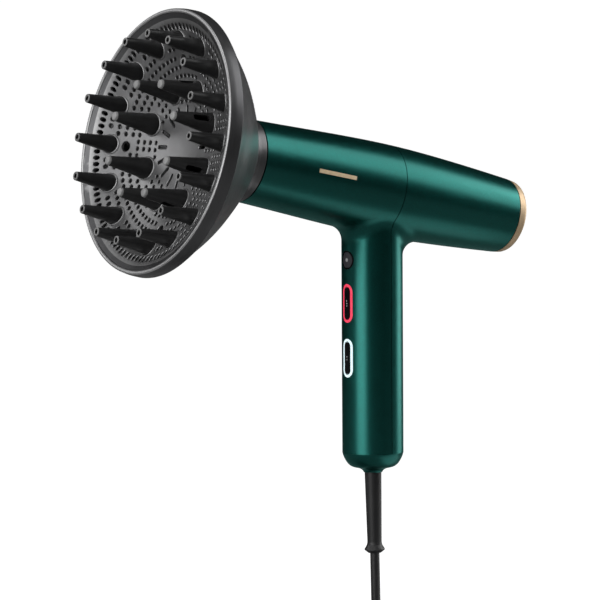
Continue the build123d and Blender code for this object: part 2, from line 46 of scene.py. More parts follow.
N_OUT, R_OUT, Q_OUT, A_OUT = 16, 61.5, -15.4, 0.6
N_IN, R_IN, Q_IN, A_IN = 8, 34.8, -10.1, 22.8
R_POST, A_POST = 51.0, 1.4
Z_COOL, Z_HEAT, Z_SPEED, R_HANDLE = 56.6, 30.2, -3.1, 18.7
CORD_D = 0.0058
PILL_L = 23.6


def bar(t, y=0.0, up=0.0):
    """A point given along the barrel, across it and up from it, in mm -> row frame, m."""
    return Vector(((t * C + up * S) / 1000, y / 1000, (100 - t * S + up * C) / 1000))


def dish(r):
    return DISH_Q - (DISH_R - math.sqrt(max(DISH_R**2 - r * r, 0)))


# --------------------------------------------------------------------- camera
scene = bpy.context.scene
cam_data = bpy.data.cameras.new("camera")
cam_data.lens, cam_data.sensor_width = 240, 36
cam_data.clip_start, cam_data.clip_end = 0.05, 60
cam = bpy.data.objects.new("camera", cam_data)
scene.collection.objects.link(cam)
right = Vector((0.826412, -0.562897, -0.0136)).normalized()
fwd = Vector((0.561450, 0.825620, -0.0558)).normalized()
up = right.cross(fwd).normalized()
m = Matrix((right, up, -fwd)).transposed().to_4x4()
m.translation = Vector((-1.40699, -1.98975, 0.16843))
pivot = Matrix.Translation((0, 0, 0.1))
m = pivot @ Matrix.Rotation(math.radians(-0.55), 4, "Y") @ pivot.inverted() @ m
cam.matrix_world = m
right, up, fwd = m.col[0].xyz, m.col[1].xyz, -m.col[2].xyz
scene.camera = cam


# ------------------------------------------------------------------ materials
def nodes_of(name):
    mat = bpy.data.materials.new(name)
    mat.use_nodes = True
    nt = mat.node_tree
    return mat, nt, nt.nodes["Principled BSDF"]


def coords(nt, scale=(1, 1, 1), turn=(0, 0, 0)):
    tc = nt.nodes.new("ShaderNodeTexCoord")
    mp = nt.nodes.new("ShaderNodeMapping")
    mp.inputs["Scale"].default_value = scale
    mp.inputs["Rotation"].default_value = turn
    nt.links.new(tc.outputs["Object"], mp.inputs["Vector"])
    return mp.outputs["Vector"]


def noise(nt, vec, scale, detail=3.0, rough=0.5):
    n = nt.nodes.new("ShaderNodeTexNoise")
    n.inputs["Scale"].default_value = scale
    n.inputs["Detail"].default_value = detail
    n.inputs["Roughness"].default_value = rough
    nt.links.new(vec, n.inputs["Vector"])
    return n.outputs["Fac"]


def remap(nt, value, a, b, lo=0.3, hi=0.7):
    r = nt.nodes.new("ShaderNodeMapRange")
    r.inputs["From Min"].default_value, r.inputs["From Max"].default_value = lo, hi
    r.inputs["To Min"].default_value, r.inputs["To Max"].default_value = a, b
    nt.links.new(value, r.inputs["Value"])
    return r.outputs["Result"]


def ramp(nt, value, c0, c1, p0=0.3, p1=0.7):
    r = nt.nodes.new("ShaderNodeValToRGB")
    r.color_ramp.elements[0].position, r.color_ramp.elements[1].position = p0, p1
    r.color_ramp.elements[0].color = (*c0, 1)
    r.color_ramp.elements[1].color = (*c1, 1)
    nt.links.new(value, r.inputs["Fac"])
    return r.outputs["Color"]


def bump(nt, bsdf, height, strength, dist):
    b = nt.nodes.new("ShaderNodeBump")
    b.inputs["Strength"].default_value = strength
    b.inputs["Distance"].default_value = dist
    nt.links.new(height, b.inputs["Height"])
    nt.links.new(b.outputs["Normal"], bsdf.inputs["Normal"])


def wear_and_edge_highlight(nt, base, edge, amount=1.0):
    """Edges a little lighter by pointiness: partly wear where they rub, partly a painted highlight along edges."""
    g = nt.nodes.new("ShaderNodeNewGeometry")
    r = nt.nodes.new("ShaderNodeMapRange")
    r.inputs["From Min"].default_value, r.inputs["From Max"].default_value = 0.53, 0.62
    r.inputs["To Min"].default_value, r.inputs["To Max"].default_value = 0.0, amount
    nt.links.new(g.outputs["Pointiness"], r.inputs["Value"])
    mix = nt.nodes.new("ShaderNodeMix")
    mix.data_type = "RGBA"
    nt.links.new(r.outputs["Result"], mix.inputs["Factor"])
    nt.links.new(base, mix.inputs[6])
    mix.inputs[7].default_value = (*edge, 1)
    return mix.outputs[2]


def plastic(name, c0, c1, rough=(0.4, 0.5), spec=0.5, grain=4200.0, depth=0.00002, strength=0.25,
            metallic=0.0, coat=0.0, coat_rough=0.2, edge=None, cloud=60.0):
    mat, nt, b = nodes_of(name)
    vec = coords(nt)
    big = noise(nt, vec, cloud, 4.0)
    col = ramp(nt, big, c0, c1)
    # edges lightened by pointiness: partly wear, partly a painted highlight along edges
    if edge:
        col = wear_and_edge_highlight(nt, col, edge, 0.6)
    nt.links.new(col, b.inputs["Base Color"])
    nt.links.new(remap(nt, noise(nt, vec, cloud * 6, 5.0), *rough), b.inputs["Roughness"])
    b.inputs["Metallic"].default_value = metallic
    b.inputs["Specular IOR Level"].default_value = spec
    b.inputs["Coat Weight"].default_value = coat
    b.inputs["Coat Roughness"].default_value = coat_rough
    bump(nt, b, noise(nt, vec, grain, 2.0), strength, depth)
    return mat


M = {}


def paint():
    """Satin metallic lacquer: fine flakes under a soft coat."""
    mat, nt, b = nodes_of("emerald_lacquer")
    vec = coords(nt)
    flakes = nt.nodes.new("ShaderNodeTexVoronoi")
    flakes.inputs["Scale"].default_value = 4200.0
    nt.links.new(vec, flakes.inputs["Vector"])
    sep = nt.nodes.new("ShaderNodeSeparateColor")
    nt.links.new(flakes.outputs["Color"], sep.inputs["Color"])
    col = ramp(nt, sep.outputs["Red"], (0.0004, 0.072, 0.060), (0.0012, 0.108, 0.092), 0.0, 1.0)
    soft = noise(nt, vec, 14.0, 3.0)
    tint = nt.nodes.new("ShaderNodeMix")
    tint.data_type, tint.blend_type = "RGBA", "MULTIPLY"
    tint.inputs["Factor"].default_value = 1.0
    nt.links.new(col, tint.inputs[6])
    nt.links.new(ramp(nt, soft, (0.93, 0.93, 0.93), (1.0, 1.0, 1.0)), tint.inputs[7])
    # edges lightened a little: partly wear, partly a painted highlight along edges
    nt.links.new(wear_and_edge_highlight(nt, tint.outputs[2], (0.01, 0.12, 0.105), 0.35), b.inputs["Base Color"])
    b.inputs["Metallic"].default_value = 0.97
    b.inputs["Specular Tint"].default_value = (0.30, 0.80, 0.74, 1)
    nt.links.new(remap(nt, noise(nt, vec, 260.0, 4.0), 0.30, 0.35), b.inputs["Roughness"])
    b.inputs["Specular IOR Level"].default_value = 0.5
    b.inputs["Coat Weight"].default_value = 0.35
    b.inputs["Coat Roughness"].default_value = 0.28
    b.inputs["Coat IOR"].default_value = 1.5
    bump(nt, b, noise(nt, vec, 2600.0, 2.0), 0.10, 0.00002)
    return mat


def gold():
    """Champagne anodised aluminium, turned: fine rings round the barrel's axis."""
    mat, nt, b = nodes_of("champagne_gold")
    tc = nt.nodes.new("ShaderNodeTexCoord")
    mp = nt.nodes.new("ShaderNodeMapping")
    mp.inputs["Rotation"].default_value = (0, -NOSE_UP, 0)
    mp.inputs["Scale"].default_value = (5200.0, 60.0, 60.0)
    nt.links.new(tc.outputs["Object"], mp.inputs["Vector"])
    n = noise(nt, mp.outputs["Vector"], 1.0, 3.0)
    nt.links.new(ramp(nt, n, (0.50, 0.36, 0.215), (0.56, 0.42, 0.27)), b.inputs["Base Color"])
    nt.links.new(remap(nt, n, 0.42, 0.50), b.inputs["Roughness"])
    b.inputs["Metallic"].default_value = 0.55
    bump(nt, b, n, 0.12, 0.00002)
    return mat


def metal(name, c0, c1, rough=(0.25, 0.4), scale=900.0, strength=0.15):
    mat, nt, b = nodes_of(name)
    vec = coords(nt)
    n = noise(nt, vec, scale, 4.0)
    nt.links.new(ramp(nt, n, c0, c1), b.inputs["Base Color"])
    nt.links.new(remap(nt, n, *rough), b.inputs["Roughness"])
    b.inputs["Metallic"].default_value = 1.0
    bump(nt, b, n, strength, 0.00003)
    return mat


def lit(name, colour, power, dim):
    """A light ring's diffuser: glows evenly, with a slight grain."""
    mat, nt, b = nodes_of(name)
    vec = coords(nt)
    n = noise(nt, vec, 900.0, 2.0)
    nt.links.new(ramp(nt, n, dim, colour), b.inputs["Base Color"])
    nt.links.new(ramp(nt, n, dim, colour), b.inputs["Emission Color"])
    b.inputs["Emission Strength"].default_value = power
    nt.links.new(remap(nt, n, 0.3, 0.45), b.inputs["Roughness"])
    return mat


def mesh_screen():
    """Woven steel gauze: the gaps between its wires are not open but painted near-black, a painted shade for the dark
    seen through them.
    """
    mat, nt, b = nodes_of("woven_gauze")
    vec = coords(nt, turn=(0, -NOSE_UP, 0))
    waves = []
    for axis in ("Y", "Z"):
        w = nt.nodes.new("ShaderNodeTexWave")
        w.bands_direction = axis
        w.inputs["Scale"].default_value = 420.0
        nt.links.new(vec, w.inputs["Vector"])
        waves.append(w.outputs["Fac"])
    top = nt.nodes.new("ShaderNodeMath")
    top.operation = "MAXIMUM"
    nt.links.new(waves[0], top.inputs[0])
    nt.links.new(waves[1], top.inputs[1])
    # low values, the gaps between wires, are painted near-black: painted shade
    nt.links.new(ramp(nt, top.outputs[0], (0.01, 0.01, 0.01), (0.28, 0.28, 0.29), 0.45, 0.8), b.inputs["Base Color"])
    nt.links.new(remap(nt, top.outputs[0], 0.7, 0.3, 0.3, 0.8), b.inputs["Roughness"])
    b.inputs["Metallic"].default_value = 0.8
    bump(nt, b, top.outputs[0], 0.6, 0.0001)
    return mat


M["shell_green"] = paint()
M["gold_trim"] = gold()
M["grey_plastic"] = plastic("graphite_plastic", (0.105, 0.105, 0.108), (0.125, 0.125, 0.128), (0.32, 0.38), 0.5, 2600.0,
                            0.00003, 0.2, metallic=0.85, edge=(0.22, 0.22, 0.225), cloud=30.0)
M["dish_plastic"] = plastic("dish_plastic", (0.140, 0.140, 0.142), (0.165, 0.165, 0.168), (0.34, 0.42), 0.5, 2600.0,
                            0.00003, 0.2, metallic=0.82, edge=(0.36, 0.36, 0.36), cloud=30.0)
M["rim_plastic"] = plastic("rim_plastic", (0.080, 0.080, 0.083), (0.100, 0.100, 0.103), (0.32, 0.38), 0.5, 2600.0,
                           0.00003, 0.2, metallic=0.85, edge=(0.30, 0.30, 0.305), cloud=30.0)
# a lighter grey for the rim's front lip: a painted highlight along the lip
M["rim_lip_highlight"] = plastic("rim_lip_highlight", (0.24, 0.24, 0.243), (0.30, 0.30, 0.303), (0.30, 0.38), 0.5, 2600.0,
                        0.00003, 0.2, metallic=0.6, cloud=30.0)
# a lighter grey for the tall fingers' tip rings: a painted highlight on the ring at each tip
M["finger_tip_highlight"] = plastic("finger_tip_highlight", (0.10, 0.10, 0.10), (0.15, 0.15, 0.15), (0.35, 0.45), 0.5, 2600.0, 0.00003, 0.2)
M["badge_gold"] = plastic("badge_gold", (0.86, 0.66, 0.42), (0.95, 0.75, 0.50), (0.34, 0.42), 0.6, 3600.0, 0.00002, 0.2,
                          metallic=0.25, cloud=200.0)
M["black_plastic"] = plastic("black_satin_plastic", (0.007, 0.007, 0.0072), (0.0115, 0.0115, 0.0118), (0.32, 0.40), 0.5, 3000.0,
                             0.00003, 0.25, edge=(0.05, 0.05, 0.05), cloud=40.0)
M["rubber_tip"] = plastic("frosted_tip", (0.15, 0.15, 0.15), (0.21, 0.21, 0.21), (0.35, 0.5), 0.5, 1800.0, 0.00004, 0.3)
M["black_gloss"] = plastic("black_gloss", (0.003, 0.003, 0.004), (0.006, 0.006, 0.007), (0.10, 0.18), 0.5, 1500.0, 0.00001, 0.1)
M["button_grey"] = plastic("button_graphite", (0.028, 0.026, 0.034), (0.042, 0.039, 0.048), (0.3, 0.42), 0.5, 3200.0, 0.00004, 0.3)
M["cord_pvc"] = plastic("cord_pvc", (0.0055, 0.0055, 0.006), (0.0095, 0.0095, 0.010), (0.38, 0.5), 0.45, 1400.0, 0.00008, 0.35, cloud=90.0)
M["boot_rubber"] = plastic("boot_rubber", (0.006, 0.006, 0.0065), (0.011, 0.011, 0.0115), (0.4, 0.52), 0.4, 2200.0, 0.00005, 0.3,
                           edge=(0.05, 0.05, 0.05))
M["mount_rubber"] = plastic("mount_rubber", (0.02, 0.02, 0.02), (0.035, 0.035, 0.035), (0.7, 0.85), 0.3, 900.0, 0.0001, 0.4)
M["motor_plastic"] = plastic("motor_plastic", (0.02, 0.02, 0.022), (0.03, 0.03, 0.033), (0.4, 0.55), 0.5, 1800.0, 0.00005, 0.3)
M["component_black"] = plastic("component_black", (0.012, 0.012, 0.014), (0.02, 0.02, 0.022), (0.45, 0.6), 0.4, 1500.0, 0.00005, 0.3)
M["pcb"] = plastic("solder_mask", (0.006, 0.05, 0.02), (0.01, 0.075, 0.03), (0.25, 0.4), 0.5, 700.0, 0.00006, 0.4, cloud=220.0)
M["mica"] = plastic("mica_board", (0.36, 0.27, 0.15), (0.52, 0.42, 0.26), (0.4, 0.6), 0.4, 500.0, 0.0001, 0.4, cloud=160.0)
M["lead_sleeve"] = plastic("lead_sleeve", (0.25, 0.012, 0.01), (0.34, 0.02, 0.015), (0.35, 0.5), 0.5, 900.0, 0.00005, 0.3)
M["led_lens"] = plastic("led_lens", (0.6, 0.6, 0.52), (0.75, 0.75, 0.68), (0.15, 0.25), 0.5, 700.0, 0.00002, 0.2)
M["steel"] = metal("machined_steel", (0.42, 0.42, 0.44), (0.56, 0.56, 0.58))
M["magnet"] = metal("nickel_plate", (0.55, 0.54, 0.52), (0.68, 0.67, 0.64), (0.12, 0.22))
M["nichrome"] = metal("heating_wire", (0.22, 0.17, 0.13), (0.38, 0.32, 0.26), (0.35, 0.5))
M["copper"] = metal("enamelled_copper", (0.45, 0.16, 0.05), (0.62, 0.25, 0.09), (0.2, 0.35), 1600.0)
M["aluminium"] = metal("extruded_aluminium", (0.6, 0.6, 0.62), (0.74, 0.74, 0.76), (0.3, 0.45))
M["impeller_alloy"] = metal("machined_alloy", (0.5, 0.51, 0.53), (0.66, 0.67, 0.69), (0.25, 0.35))
M["mesh_steel"] = mesh_screen()
M["light_red"] = lit("light_red", (0.80, 0.055, 0.105), 0.72, (0.66, 0.035, 0.08))
M["light_white"] = lit("light_white", (0.66, 0.78, 0.82), 0.70, (0.55, 0.70, 0.75))
M["clear_tip"] = M["rubber_tip"]

slot_of = {s["node"]: s["material_slot"] for s in frame["record"]["subparts"]}
special = {"side_badge": "badge_gold", "cool_shot_button": "button_grey", "diffuser_plate": "dish_plastic", "cool_shot_bezel": "black_gloss"}
for name, obj in frame["nodes"].items():
    mat = M[special.get(name, slot_of[name])]
    for s in obj.material_slots:
        s.material = mat
    if not obj.material_slots:
        obj.data.materials.append(mat)


# ----------------------------------------------------------------- mesh tools
def new_piece(name, bm, mat, body, replaces=(), angle=35.0):
    me = bpy.data.meshes.new(name)
    bmesh.ops.recalc_face_normals(bm, faces=bm.faces)
    bm.to_mesh(me)
    bm.free()
    for p in me.polygons:
        p.use_smooth = True
    me.set_sharp_from_angle(angle=math.radians(angle))
    me.materials.append(mat)
    ob = bpy.data.objects.new(name, me)
    scene.collection.objects.link(ob)
    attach(ob, body)
    if replaces:
        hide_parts(*replaces)
    return ob


def second(ob, mat, test):
    """Gives a second material to the faces whose (q, radius from the barrel's axis) pass the test."""
    ob.data.materials.append(mat)
    for p in ob.data.polygons:
        c = p.center
        t = (c.x * C - (c.z - 0.1) * S) * 1000
        u = (c.x * S + (c.z - 0.1) * C) * 1000
        if test(t - RIM_T, math.hypot(c.y * 1000, u)):
            p.material_index = 1


def rounded(points, radius, steps=4):
    """A closed polygon with each corner given a small round; radius may be a list."""
    out, n = [], len(points)
    rad = radius if isinstance(radius, (list, tuple)) else [radius] * n
    for i, p in enumerate(points):
        a, b, c = Vector(points[i - 1]), Vector(p), Vector(points[(i + 1) % n])
        r = rad[i]
        ab, cb = (a - b), (c - b)
        if r <= 0 or ab.length < 1e-6 or cb.length < 1e-6:
            out.append(tuple(b))
            continue
        cut = min(r, 0.45 * ab.length, 0.45 * cb.length)
        p0, p1 = b + ab.normalized() * cut, b + cb.normalized() * cut
        for k in range(steps + 1):
            s = k / steps
            out.append(tuple(p0 * (1 - s) ** 2 + b * 2 * s * (1 - s) + p1 * s * s))
    return out


def turned(bm, profile, seg, place, closed=True):
    """Turns a profile of (along, radius) round an axis; place maps (along, y, up) to a point."""
    rings = []
    for t, r in profile:
        if r < 1e-6:
            rings.append([bm.verts.new(place(t, 0, 0))])
        else:
            rings.append([
                bm.verts.new(place(t, r * math.sin(2 * math.pi * k / seg), r * math.cos(2 * math.pi * k / seg)))
                for k in range(seg)
            ])
    pairs = list(zip(rings, rings[1:])) + ([(rings[-1], rings[0])] if closed else [])
    for a, b in pairs:
        if len(a) == 1 and len(b) == 1:
            continue
        for k in range(seg):
            j = (k + 1) % seg
            if len(a) == 1:
                bm.faces.new((a[0], b[k], b[j]))
            elif len(b) == 1:
                bm.faces.new((a[k], b[0], a[j]))
            else:
                bm.faces.new((a[k], b[k], b[j], a[j]))


def at_barrel(q0=0.0, y0=0.0, up0=0.0):
    return lambda t, y, u: bar(RIM_T + q0 + t, y0 + y, up0 + u)


# ------------------------------------------------------------- the mains cord
def spline_cord(name, points, depth, mat):
    cu = bpy.data.curves.new(name, "CURVE")
    cu.dimensions = "3D"
    cu.bevel_depth = depth
    cu.bevel_resolution = 6
    cu.resolution_u = 6
    cu.use_fill_caps = True
    sp = cu.splines.new("NURBS")
    sp.points.add(len(points) - 1)
    for p, co in zip(sp.points, points):
        p.co = (*co, 1)
    sp.order_u = 3
    sp.use_endpoint_u = True
    cu.materials.append(mat)
    ob = bpy.data.objects.new(name, cu)
    scene.collection.objects.link(ob)
    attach(ob, "housing")
    return ob


Z_LIE = -0.2108
COIL = Vector((-0.0762, 0.0359))
R0, R1 = 0.0439, 0.0231
DOWN, CLIMB, UP = 3.6 * 360, 90.0, 3.76 * 360
route = [(0.00105, 0, -0.1231), (0.0015, 0, -0.1445), (0.00195, 0, -0.1655), (-0.0125, -0.0014, -0.1860),
         (-0.0335, -0.0042, -0.2035), (-0.0565, -0.0070, Z_LIE)]
total = DOWN + CLIMB + UP
count = int(round(total / 22.5))
for i in range(count + 1):
    a = total * i / count
    if a <= DOWN:
        r, z = R0 + (R1 - R0) * a / DOWN, 0.0
    elif a <= DOWN + CLIMB:
        r = R1
        s = (a - DOWN) / CLIMB
        z = CORD_D * (3 * s * s - 2 * s**3)
    else:
        r, z = R1 + (R0 + 0.0009 - R1) * (a - DOWN - CLIMB) / UP, CORD_D
    r /= 0.981
    ang = math.radians(-90 - a)
    if i == 0:
        route.append((COIL.x + 0.002, -0.0080, Z_LIE))
        continue
    route.append((COIL.x + r * math.cos(ang), COIL.y + r * math.sin(ang), Z_LIE + z))
route += [(-0.0282, 0.0541, Z_LIE + CORD_D - 0.0015), (-0.0038, 0.0452, Z_LIE + CORD_D + 0.0005), (0.0202, 0.0452, -0.2007)]
cord = spline_cord("mains_cord", route, CORD_D / 2, M["cord_pvc"])
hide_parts("cord_lead", "cord_coil", "cord_tail")

# --------------------------------------------------- the diffuser's dish, pierced
VENTS = [(27.8, 40, 1.25, 1.25), (32.6, 48, 1.25, 1.35), (37.4, 56, 1.25, 1.35), (42.2, 64, 1.25, 1.4),
         (47.2, 72, 1.3, 1.4), (52.4, 80, 1.3, 1.4), (57.8, 88, 1.4, 1.4), (63.6, 96, 1.65, 1.4), (69.6, 112, 1.95, 1.3)]


def ellipse(cy, cu, a, b, turn, n):
    """a along the radius, b across it; turn is the angle of the radius from up."""
    out = []
    for k in range(n):
        p = 2 * math.pi * k / n
        ra, tb = a * math.cos(p), b * math.sin(p)
        out.append((cy + ra * math.sin(turn) + tb * math.cos(turn), cu + ra * math.cos(turn) - tb * math.sin(turn)))
    return out


def slot_loop(r0, r1, half, turn, n=5):
    pts = []
    for k in range(n + 1):
        p = -math.pi / 2 + math.pi * k / n
        pts.append((r1 - half + half * math.cos(p), half * math.sin(p)))
    for k in range(n + 1):
        p = math.pi / 2 + math.pi * k / n
        pts.append((r0 + half + half * math.cos(p), half * math.sin(p)))
    return [(r * math.sin(turn) + s * math.cos(turn), r * math.cos(turn) - s * math.sin(turn)) for r, s in pts]


def inside(p, loop):
    x, y = p
    hit = False
    for (x0, y0), (x1, y1) in zip(loop, loop[1:] + loop[:1]):
        if (y0 > y) != (y1 > y) and x < (x1 - x0) * (y - y0) / (y1 - y0) + x0:
            hit = not hit
    return hit


fingers = [(R_OUT, math.radians(A_OUT + k * 22.5), 5.25) for k in range(N_OUT)]
fingers += [(R_IN, math.radians(A_IN + k * 45), 6.45) for k in range(N_IN)]
fingers_xy = [(r * math.sin(a), r * math.cos(a), b) for r, a, b in fingers]
screws_xy = [(R_POST * math.sin(math.radians(A_POST + k * 90)), R_POST * math.cos(math.radians(A_POST + k * 90))) for k in range(4)]

holes = []      # (loop, centre, reach)
for cy, cu, b in fingers_xy:
    holes.append((ellipse(cy, cu, b + 0.02, b + 0.02, 0, 32), (cy, cu), b + 0.1))
for cy, cu in screws_xy:
    holes.append((ellipse(cy, cu, 3.1, 3.1, 0, 24), (cy, cu), 3.3))
for k in range(16):
    a = math.radians(A_OUT + k * 22.5)
    holes.append((slot_loop(17.2, 25.6, 1.05, a), (21.4 * math.sin(a), 21.4 * math.cos(a)), 4.5))
for r, n, ra, tb in VENTS:
    for k in range(n):
        a = 2 * math.pi * (k + 0.5) / n
        cy, cu = r * math.sin(a), r * math.cos(a)
        if any(math.hypot(cy - fy, cu - fu) < b + max(ra, tb) + 0.9 for fy, fu, b in fingers_xy):
            continue
        if any(math.hypot(cy - sy, cu - su) < 3.1 + max(ra, tb) + 0.8 for sy, su in screws_xy):
            continue
        if r < 28 and any(math.hypot(cy - p[0], cu - p[1]) < tb + 0.7 for h in holes[28:44] for p in h[0]):
            continue
        holes.append((ellipse(cy, cu, ra, tb, a, 12), (cy, cu), max(ra, tb) + 0.1))


def grown(loop, centre, d):
    out = []
    n = len(loop)
    for i, p in enumerate(loop):
        a, b = loop[i - 1], loop[(i + 1) % n]
        tx, ty = b[0] - a[0], b[1] - a[1]
        ln = math.hypot(tx, ty) or 1
        nx, ny = ty / ln, -tx / ln
        if (p[0] - centre[0]) * nx + (p[1] - centre[1]) * ny < 0:
            nx, ny = -nx, -ny
        out.append((p[0] + nx * d, p[1] + ny * d))
    return out


def make_dish():
    verts, edges, sink = [], [], []

    def loop_in(points, depth):
        base = len(verts)
        verts.extend(Vector(p) for p in points)
        sink.extend([depth] * len(points))
        n = len(points)
        edges.extend((base + i, base + (i + 1) % n) for i in range(n))

    rim = [(R_DISH * math.sin(2 * math.pi * k / 288), R_DISH * math.cos(2 * math.pi * k / 288)) for k in range(288)]
    loop_in(rim, 0.0)
    cell = {}
    for loop, centre, reach in holes:
        loop_in(loop, 0.28)
        loop_in(grown(loop, centre, 0.28), 0.0)
        cell.setdefault((int(centre[0] // 12), int(centre[1] // 12)), []).append((loop, centre, reach))

    def near(p):
        i, j = int(p[0] // 12), int(p[1] // 12)
        for di in (-1, 0, 1):
            for dj in (-1, 0, 1):
                yield from cell.get((i + di, j + dj), ())

    r = 0.0
    while r < R_DISH - 1.5:
        n = max(1, int(2 * math.pi * r / 3.2))
        for k in range(n):
            a = 2 * math.pi * k / n
            p = (r * math.sin(a), r * math.cos(a))
            if all(math.hypot(p[0] - c[0], p[1] - c[1]) > reach + 0.6 for _, c, reach in near(p)):
                verts.append(Vector(p))
                sink.append(0.0)
        r += 3.2
    vo, eo, fo, ov, oe, of_ = delaunay_2d_cdt(verts, edges, [], 0, 1e-5)
    drop = [max([sink[i] for i in src] or [0.0]) for src in ov]
    keep = []
    for f in fo:
        cx = sum(vo[i].x for i in f) / len(f)
        cy = sum(vo[i].y for i in f) / len(f)
        if math.hypot(cx, cy) > R_DISH:
            continue
        if any(math.hypot(cx - c[0], cy - c[1]) < reach + 0.2 and inside((cx, cy), loop) for loop, c, reach in near((cx, cy))):
            continue
        keep.append(f)
    bm = bmesh.new()
    top, low = {}, {}
    used = sorted({i for f in keep for i in f})
    for i in used:
        y, u = vo[i].x, vo[i].y
        q = dish(math.hypot(y, u))
        top[i] = bm.verts.new(bar(RIM_T + q + drop[i], y, u))
        low[i] = bm.verts.new(bar(RIM_T + q + DISH_WALL, y, u))
    seen = {}
    for f in keep:
        bm.faces.new([top[i] for i in f])
        bm.faces.new([low[i] for i in reversed(f)])
        for a, b in zip(f, f[1:] + f[:1]):
            seen[(a, b)] = seen.get((a, b), 0) + 1
    for a, b in list(seen):
        if (b, a) not in seen:
            bm.faces.new((top[b], top[a], low[a], low[b]))
    return bm


dish_piece = new_piece("dish_plate", make_dish(), M["dish_plastic"], "diffuser", ("diffuser_plate",), 30)

# mouldings round the fingers' roots, lying on the dish
bm = bmesh.new()
for fy, fu, b in fingers_xy:
    seg = 40
    prof = [(b + 0.02, 0.9), (b + 0.05, -0.55), (b + 0.25, -0.75), (b + 0.55, -0.72), (b + 0.85, -0.4), (b + 1.0, 0.3), (b + 1.0, 0.9)]
    loops = []
    for rr, dq in prof:
        loops.append([])
        for k in range(seg):
            a = 2 * math.pi * k / seg
            y, u = fy + rr * math.sin(a), fu + rr * math.cos(a)
            loops[-1].append(bm.verts.new(bar(RIM_T + dish(math.hypot(y, u)) + dq, y, u)))
    for la, lb in zip(loops, loops[1:] + loops[:1]):
        for k in range(seg):
            j = (k + 1) % seg
            bm.faces.new((la[k], lb[k], lb[j], la[j]))
new_piece("finger_roots", bm, M["dish_plastic"], "diffuser", (), 50)

# the fingers
tall = rounded([(Q_OUT + 6, 0), (Q_OUT + 6, 1.4), (Q_OUT, 1.5), (Q_OUT, 2.62), (4.0, 4.75), (6.5, 5.25), (13.4, 5.25), (13.4, 0)],
               [0, 0.2, 0.35, 0.7, 2.5, 1.2, 0.2, 0], 5)
bm = bmesh.new()
for k in range(N_OUT):
    a = math.radians(A_OUT + k * 22.5)
    turned(bm, tall, 40, at_barrel(0, R_OUT * math.sin(a), R_OUT * math.cos(a)), closed=False)
tall_piece = new_piece("tall_fingers", bm, M["black_plastic"], "diffuser", ("outer_fingers",), 40)
# the tip faces get the lighter grey: a painted highlight on each tip ring
second(tall_piece, M["finger_tip_highlight"], lambda q, r: q < Q_OUT + 0.75)


def slotted_finger(k):
    """An inner finger: a cone with one long window on its outer side, its wall hollow behind."""
    a = math.radians(A_IN + k * 45)
    place = at_barrel(0, R_IN * math.sin(a), R_IN * math.cos(a))
    prof = rounded([(Q_IN + 1.6, 0), (Q_IN + 1.6, 2.86), (12.5, 5.85), (15.2, 6.45), (21.6, 6.45), (21.6, 4.6), (1.0, 2.5), (1.0, 0)],
                   [0, 0.3, 3, 1.2, 0.3, 0.3, 0.6, 0], 4)
    b = bmesh.new()
    turned(b, prof, 48, place, closed=False)
    me = bpy.data.meshes.new("f")
    bmesh.ops.recalc_face_normals(b, faces=b.faces)
    b.to_mesh(me)
    b.free()
    ob = bpy.data.objects.new("f", me)
    scene.collection.objects.link(ob)
    # cutter: a rod of pill section along the outward radius
    c = bmesh.new()
    n, half, q0, q1 = 10, 1.75, 2.2, 13.2
    loop = []
    for i in range(n + 1):
        p = -math.pi / 2 + math.pi * i / n
        loop.append((q1 - half + half * math.cos(p), half * math.sin(p)))
    for i in range(n + 1):
        p = math.pi / 2 + math.pi * i / n
        loop.append((q0 + half + half * math.cos(p), half * math.sin(p)))
    ends = []
    for rad in (1.0, 9.0):
        ends.append([c.verts.new(place(q, rad * math.sin(a) + s * math.cos(a), rad * math.cos(a) - s * math.sin(a))) for q, s in loop])
    c.faces.new(ends[0])
    c.faces.new(list(reversed(ends[1])))
    for i in range(len(loop)):
        j = (i + 1) % len(loop)
        c.faces.new((ends[0][j], ends[0][i], ends[1][i], ends[1][j]))
    bmesh.ops.recalc_face_normals(c, faces=c.faces)
    mc = bpy.data.meshes.new("c")
    c.to_mesh(mc)
    c.free()
    cut = bpy.data.objects.new("c", mc)
    scene.collection.objects.link(cut)
    mod = ob.modifiers.new("cut", "BOOLEAN")
    mod.operation, mod.solver, mod.object = "DIFFERENCE", "EXACT", cut
    bpy.context.view_layer.update()
    ev = ob.evaluated_get(bpy.context.evaluated_depsgraph_get())
    out = bmesh.new()
    out.from_mesh(ev.to_mesh())
    ev.to_mesh_clear()
    for o in (ob, cut):
        d = o.data
        bpy.data.objects.remove(o)
        bpy.data.meshes.remove(d)
    return out


bm = bmesh.new()
for k in range(N_IN):
    part = slotted_finger(k)
    me = bpy.data.meshes.new("t")
    part.to_mesh(me)
    part.free()
    bm.from_mesh(me)
    bpy.data.meshes.remove(me)
new_piece("short_fingers", bm, M["black_plastic"], "diffuser", ("inner_fingers",), 40)

bm = bmesh.new()
for k in range(N_IN):
    a = math.radians(A_IN + k * 45)
    prof = rounded([(Q_IN, 0), (Q_IN, 2.45), (Q_IN + 1.6, 2.86), (Q_IN + 1.6, 0)], [0, 0.8, 0.1, 0], 5)
    turned(bm, prof, 36, at_barrel(0, R_IN * math.sin(a), R_IN * math.cos(a)), closed=False)
new_piece("soft_tips", bm, M["rubber_tip"], "diffuser", ("finger_tips",), 40)

